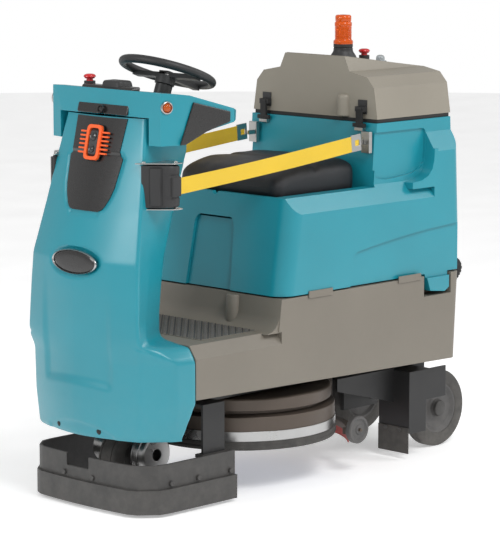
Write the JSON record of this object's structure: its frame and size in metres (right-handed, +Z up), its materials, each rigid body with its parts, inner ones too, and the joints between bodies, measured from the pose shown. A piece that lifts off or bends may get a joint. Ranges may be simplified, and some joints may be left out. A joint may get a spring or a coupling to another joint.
{
  "type": "floor scrubber",
  "caption": "Ride-on floor scrubber with a front console, steering wheel, seat over the tanks, lifting brush deck, squeegee, hinged tank lid and belts beside the driver.",
  "frame": {"origin": "on the floor under the middle of the machine", "axes": "+X to the front, +Y to the driver's left, +Z up"},
  "size_m": [1.5621, 0.6288, 1.414],
  "materials": {
    "teal_plastic": "satin",
    "grey_plastic": "satin",
    "lid_plastic": "satin",
    "black_plastic": "satin",
    "black_gloss": "gloss",
    "black_steel": "satin",
    "zinc_steel": "satin",
    "deck_alloy": "satin",
    "band_alloy": "satin",
    "rubber": "matte",
    "tyre_rubber": "matte",
    "red_rubber": "matte",
    "seat_vinyl": "satin",
    "belt_webbing": "matte",
    "amber": "gloss",
    "orange": "satin",
    "clear": "gloss",
    "red_plastic": "gloss",
    "bristle": "matte"
  },
  "bodies": {
    "machine": {"front_shroud": "teal_plastic", "console_hood": "teal_plastic", "recovery_tank": "teal_plastic", "base_tank": "grey_plastic", "platform_tread": "grey_plastic", "sensor_panel": "black_gloss", "sensor_ring": "orange", "sensor_glass": "clear", "camera_housing": "black_gloss", "blank_badge": "black_gloss", "side_pods": "black_plastic", "side_lamps": "amber", "front_stop_base": "black_plastic", "steering_column": "black_steel", "battery_pack": "black_plastic", "pedal_bracket": "black_steel", "seam_clips": "zinc_steel", "seat_pad": "seat_vinyl", "lid_hinges": "black_steel", "keeper_plates": "zinc_steel", "belt_reels": "black_plastic", "reel_brackets": "zinc_steel", "chassis_frame": "black_steel", "rear_axle": "zinc_steel", "wheel_guards": "black_steel", "guard_flaps": "rubber", "dome_bolts": "zinc_steel", "front_skirt": "black_plastic", "drain_hose": "rubber"},
    "steering": {"steering_rim": "black_plastic", "steering_wheel": "black_plastic"},
    "drive_fork": {"steer_fork": "black_steel", "drive_motor": "black_steel"},
    "front_wheel": {"drive_wheel": "tyre_rubber"},
    "left_wheel": {"rear_wheel_left": "tyre_rubber"},
    "right_wheel": {"rear_wheel_right": "tyre_rubber"},
    "pedal": {"drive_pedal": "rubber"},
    "deck": {"brush_deck": "deck_alloy", "deck_band": "band_alloy", "deck_lip": "rubber", "brush_motor": "black_steel"},
    "brush": {"brush_disc": "bristle"},
    "squeegee": {"squeegee_frame": "deck_alloy", "squeegee_blades": "red_rubber"},
    "left_roller": {"squeegee_roller_left": "rubber"},
    "right_roller": {"squeegee_roller_right": "rubber"},
    "lid": {"recovery_lid": "lid_plastic", "lid_seal": "rubber", "latch_mounts": "black_plastic", "beacon_base": "black_plastic", "beacon_lens": "amber", "rear_stop_base": "black_plastic", "status_dome": "clear"},
    "left_latch": {"lid_latch_left": "rubber"},
    "right_latch": {"lid_latch_right": "rubber"},
    "rear_stop": {"rear_stop_button": "red_plastic"},
    "front_stop": {"front_stop_button": "red_plastic"},
    "left_belt": {"belt_web_left": "belt_webbing", "belt_tongue_left": "zinc_steel"},
    "right_belt": {"belt_web_right": "belt_webbing", "belt_tongue_right": "zinc_steel"}
  },
  "joints": [
    {"name": "fork_steer", "type": "hinge", "parent": "machine", "child": "drive_fork", "pos_m": [0.535, 0, 0.3], "axis": [0, 0, 1], "range_deg": [-70, 70]},
    {"name": "steering_turn", "type": "hinge", "parent": "machine", "child": "steering", "pos_m": [0.394, 0, 1.249], "axis": [-0.342, 0, 0.9397], "range_deg": [-140, 140]},
    {"name": "drive_roll", "type": "hinge", "parent": "drive_fork", "child": "front_wheel", "pos_m": [0.535, 0, 0.115], "axis": [0, 1, 0], "continuous": true},
    {"name": "left_wheel_roll", "type": "hinge", "parent": "machine", "child": "left_wheel", "pos_m": [-0.654, 0.168, 0.126], "axis": [0, 1, 0], "continuous": true},
    {"name": "right_wheel_roll", "type": "hinge", "parent": "machine", "child": "right_wheel", "pos_m": [-0.654, -0.168, 0.126], "axis": [0, 1, 0], "continuous": true},
    {"name": "pedal_press", "type": "hinge", "parent": "machine", "child": "pedal", "pos_m": [0.505, -0.09, 0.514], "axis": [0, -1, 0], "range_deg": [0, 14], "stiffness_Nm_per_rad": 3, "springref_deg": -8.59},
    {"name": "deck_lift", "type": "slide", "parent": "machine", "child": "deck", "axis": [0, 0, 1], "range_m": [-0.132, 0]},
    {"name": "brush_spin", "type": "hinge", "parent": "deck", "child": "brush", "pos_m": [0.08, 0, 0.2], "axis": [0, 0, 1], "continuous": true},
    {"name": "squeegee_lift", "type": "slide", "parent": "machine", "child": "squeegee", "axis": [0, 0, 1], "range_m": [-0.092, 0]},
    {"name": "left_roller_roll", "type": "hinge", "parent": "squeegee", "child": "left_roller", "pos_m": [-0.16, 0.279, 0.142], "axis": [0, 1, 0], "continuous": true},
    {"name": "right_roller_roll", "type": "hinge", "parent": "squeegee", "child": "right_roller", "pos_m": [-0.16, -0.279, 0.142], "axis": [0, 1, 0], "continuous": true},
    {"name": "lid_open", "type": "hinge", "parent": "machine", "child": "lid", "pos_m": [-0.628, 0, 1.11], "axis": [0, -1, 0], "range_deg": [0, 95]},
    {"name": "left_latch_open", "type": "hinge", "parent": "lid", "child": "left_latch", "pos_m": [-0.244, 0.207, 1.134], "axis": [0, -1, 0], "range_deg": [0, 100]},
    {"name": "right_latch_open", "type": "hinge", "parent": "lid", "child": "right_latch", "pos_m": [-0.244, -0.207, 1.134], "axis": [0, -1, 0], "range_deg": [0, 100]},
    {"name": "rear_stop_press", "type": "slide", "parent": "lid", "child": "rear_stop", "axis": [0, 0, -1], "range_m": [0, 0.005], "stiffness_N_per_m": 800, "springref_m": -0.002},
    {"name": "front_stop_press", "type": "slide", "parent": "machine", "child": "front_stop", "axis": [0, 0, -1], "range_m": [0, 0.005], "stiffness_N_per_m": 800, "springref_m": -0.002},
    {"name": "left_belt_swing", "type": "hinge", "parent": "machine", "child": "left_belt", "pos_m": [0.6, 0.228, 0.968], "axis": [0, 0, -1], "range_deg": [0, 90]},
    {"name": "right_belt_swing", "type": "hinge", "parent": "machine", "child": "right_belt", "pos_m": [0.6, -0.228, 0.968], "axis": [0, 0, 1], "range_deg": [0, 90]}
  ],
  "couplings": [
    {"joint": "steering_turn", "follows": "fork_steer", "ratio": 2}
  ]
}
